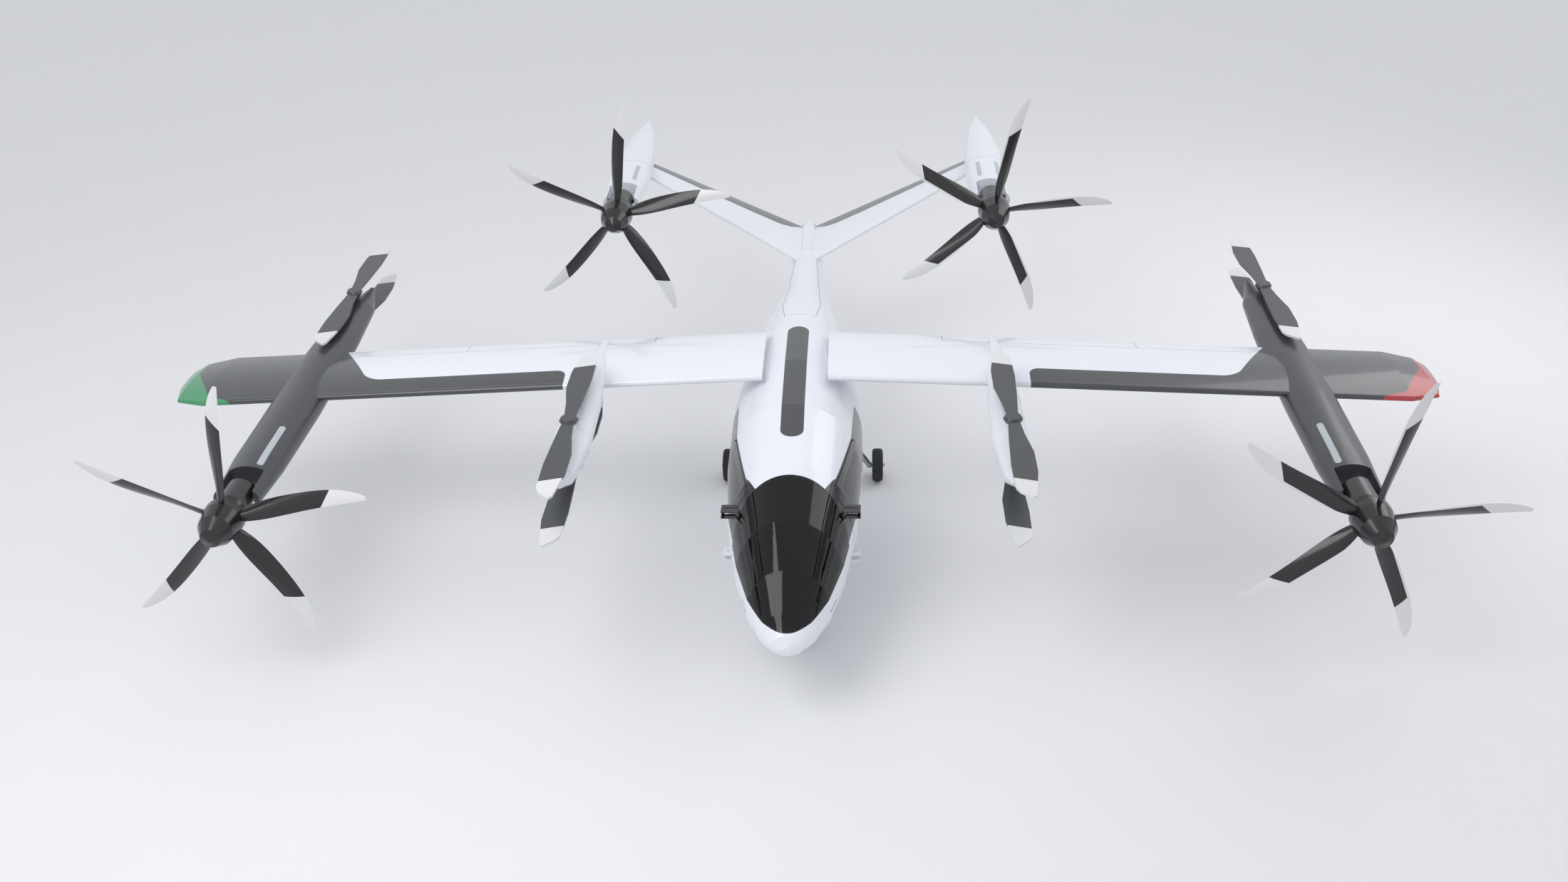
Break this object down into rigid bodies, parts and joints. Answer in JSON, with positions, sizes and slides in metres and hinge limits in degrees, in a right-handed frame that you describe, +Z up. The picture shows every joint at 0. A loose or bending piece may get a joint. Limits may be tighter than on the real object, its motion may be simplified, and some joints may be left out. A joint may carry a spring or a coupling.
{
  "type": "tilt-propeller electric passenger aircraft",
  "caption": "Electric tilt-propeller aircraft on wheeled gear, high wing, V-tail, hollow cabin",
  "frame": {"origin": "on the ground at mid-length and mid-span", "axes": "+Z up, -Y towards the nose, +X towards the port wing tip"},
  "size_m": [15, 11.1, 4.4363],
  "materials": {
    "white_paint": "gloss",
    "charcoal_paint": "gloss",
    "canopy_glass": "gloss",
    "side_glass": "gloss",
    "cabin_trim": "matte",
    "battery_case": "satin",
    "lens_red": "gloss",
    "lens_green": "gloss",
    "motor_black": "satin",
    "blade_black": "gloss",
    "rotor_charcoal": "satin",
    "gear_steel": "satin",
    "wheel_alloy": "satin",
    "tyre_rubber": "matte"
  },
  "bodies": {
    "airframe": {"fuselage": "white_paint", "windscreen": "canopy_glass", "cabin_floor": "cabin_trim", "cabin_bulkhead": "cabin_trim", "battery_pack": "battery_case", "wing_port": "white_paint", "tip_light_port": "lens_red", "outer_nacelle_port": "charcoal_paint", "inner_boom_port": "white_paint", "tail_nacelle_port": "white_paint", "tail_surface_port": "white_paint", "main_leg_port": "gear_steel", "wing_starboard": "white_paint", "tip_light_starboard": "lens_green", "outer_nacelle_starboard": "charcoal_paint", "inner_boom_starboard": "white_paint", "tail_nacelle_starboard": "white_paint", "tail_surface_starboard": "white_paint", "main_leg_starboard": "gear_steel", "nose_strut": "gear_steel"},
    "door_port": {"door_port": "white_paint", "door_window_port": "side_glass"},
    "door_starboard": {"door_starboard": "white_paint", "door_window_starboard": "side_glass"},
    "tilt_head_front_port": {"tilt_head_front_port": "motor_black"},
    "propeller_front_port": {"propeller_front_port": "blade_black"},
    "tilt_head_front_starboard": {"tilt_head_front_starboard": "motor_black"},
    "propeller_front_starboard": {"propeller_front_starboard": "blade_black"},
    "tilt_head_tail_port": {"tilt_head_tail_port": "motor_black"},
    "propeller_tail_port": {"propeller_tail_port": "blade_black"},
    "tilt_head_tail_starboard": {"tilt_head_tail_starboard": "motor_black"},
    "propeller_tail_starboard": {"propeller_tail_starboard": "blade_black"},
    "inner_rotor_upper_port": {"inner_rotor_upper_port": "rotor_charcoal"},
    "inner_rotor_lower_port": {"inner_rotor_lower_port": "rotor_charcoal"},
    "inner_rotor_upper_starboard": {"inner_rotor_upper_starboard": "rotor_charcoal"},
    "inner_rotor_lower_starboard": {"inner_rotor_lower_starboard": "rotor_charcoal"},
    "rear_rotor_upper_port": {"rear_rotor_upper_port": "rotor_charcoal"},
    "rear_rotor_lower_port": {"rear_rotor_lower_port": "rotor_charcoal"},
    "rear_rotor_upper_starboard": {"rear_rotor_upper_starboard": "rotor_charcoal"},
    "rear_rotor_lower_starboard": {"rear_rotor_lower_starboard": "rotor_charcoal"},
    "nose_fork": {"nose_fork": "gear_steel"},
    "nose_wheel": {"nose_wheel": "wheel_alloy", "nose_tyre": "tyre_rubber"},
    "main_wheel_port": {"main_wheel_port": "wheel_alloy", "main_tyre_port": "tyre_rubber"},
    "main_wheel_starboard": {"main_wheel_starboard": "wheel_alloy", "main_tyre_starboard": "tyre_rubber"}
  },
  "joints": [
    {"name": "door_hinge_port", "type": "hinge", "parent": "airframe", "child": "door_port", "pos_m": [0.74, -3.93, 1.34], "axis": [0, 0, -1], "range_deg": [0, 70]},
    {"name": "door_hinge_starboard", "type": "hinge", "parent": "airframe", "child": "door_starboard", "pos_m": [-0.74, -3.93, 1.34], "axis": [0, 0, 1], "range_deg": [0, 70]},
    {"name": "tilt_front_port", "type": "hinge", "parent": "airframe", "child": "tilt_head_front_port", "pos_m": [5.914, -4.168, 1.978], "axis": [-1, 0, 0], "range_deg": [0, 90]},
    {"name": "spin_front_port", "type": "hinge", "parent": "tilt_head_front_port", "child": "propeller_front_port", "pos_m": [5.914, -4.688, 1.978], "axis": [0, -1, 0], "continuous": true},
    {"name": "tilt_front_starboard", "type": "hinge", "parent": "airframe", "child": "tilt_head_front_starboard", "pos_m": [-5.914, -4.168, 1.978], "axis": [-1, 0, 0], "range_deg": [0, 90]},
    {"name": "spin_front_starboard", "type": "hinge", "parent": "tilt_head_front_starboard", "child": "propeller_front_starboard", "pos_m": [-5.914, -4.688, 1.978], "axis": [0, -1, 0], "continuous": true},
    {"name": "tilt_tail_port", "type": "hinge", "parent": "airframe", "child": "tilt_head_tail_port", "pos_m": [2.574, 2.267, 2.871], "axis": [-1, 0, 0], "range_deg": [0, 90]},
    {"name": "spin_tail_port", "type": "hinge", "parent": "tilt_head_tail_port", "child": "propeller_tail_port", "pos_m": [2.574, 1.747, 2.871], "axis": [0, -1, 0], "continuous": true},
    {"name": "tilt_tail_starboard", "type": "hinge", "parent": "airframe", "child": "tilt_head_tail_starboard", "pos_m": [-2.574, 2.267, 2.871], "axis": [-1, 0, 0], "range_deg": [0, 90]},
    {"name": "spin_tail_starboard", "type": "hinge", "parent": "tilt_head_tail_starboard", "child": "propeller_tail_starboard", "pos_m": [-2.574, 1.747, 2.871], "axis": [0, -1, 0], "continuous": true},
    {"name": "spin_inner_rotor_upper_port", "type": "hinge", "parent": "airframe", "child": "inner_rotor_upper_port", "pos_m": [2.37, -3.69, 2.6], "axis": [0, 0, 1], "continuous": true},
    {"name": "spin_inner_rotor_lower_port", "type": "hinge", "parent": "airframe", "child": "inner_rotor_lower_port", "pos_m": [2.37, -3.69, 2.04], "axis": [0, 0, 1], "continuous": true},
    {"name": "spin_inner_rotor_upper_starboard", "type": "hinge", "parent": "airframe", "child": "inner_rotor_upper_starboard", "pos_m": [-2.37, -3.69, 2.6], "axis": [0, 0, 1], "continuous": true},
    {"name": "spin_inner_rotor_lower_starboard", "type": "hinge", "parent": "airframe", "child": "inner_rotor_lower_starboard", "pos_m": [-2.37, -3.69, 2.04], "axis": [0, 0, 1], "continuous": true},
    {"name": "spin_rear_rotor_upper_port", "type": "hinge", "parent": "airframe", "child": "rear_rotor_upper_port", "pos_m": [5.97, 0.51, 2.28], "axis": [0, 0, 1], "continuous": true},
    {"name": "spin_rear_rotor_lower_port", "type": "hinge", "parent": "airframe", "child": "rear_rotor_lower_port", "pos_m": [5.97, 0.51, 1.845], "axis": [0, 0, 1], "continuous": true},
    {"name": "spin_rear_rotor_upper_starboard", "type": "hinge", "parent": "airframe", "child": "rear_rotor_upper_starboard", "pos_m": [-5.97, 0.51, 2.28], "axis": [0, 0, 1], "continuous": true},
    {"name": "spin_rear_rotor_lower_starboard", "type": "hinge", "parent": "airframe", "child": "rear_rotor_lower_starboard", "pos_m": [-5.97, 0.51, 1.845], "axis": [0, 0, 1], "continuous": true},
    {"name": "nose_steering", "type": "hinge", "parent": "airframe", "child": "nose_fork", "pos_m": [0, -4.15, 0.45], "axis": [0, 0, 1], "range_deg": [-45, 45]},
    {"name": "nose_wheel_spin", "type": "hinge", "parent": "nose_fork", "child": "nose_wheel", "pos_m": [0, -4.15, 0.175], "axis": [1, 0, 0], "continuous": true},
    {"name": "main_wheel_spin_port", "type": "hinge", "parent": "airframe", "child": "main_wheel_port", "pos_m": [0.98, -0.54, 0.215], "axis": [1, 0, 0], "continuous": true},
    {"name": "main_wheel_spin_starboard", "type": "hinge", "parent": "airframe", "child": "main_wheel_starboard", "pos_m": [-0.98, -0.54, 0.215], "axis": [1, 0, 0], "continuous": true}
  ]
}
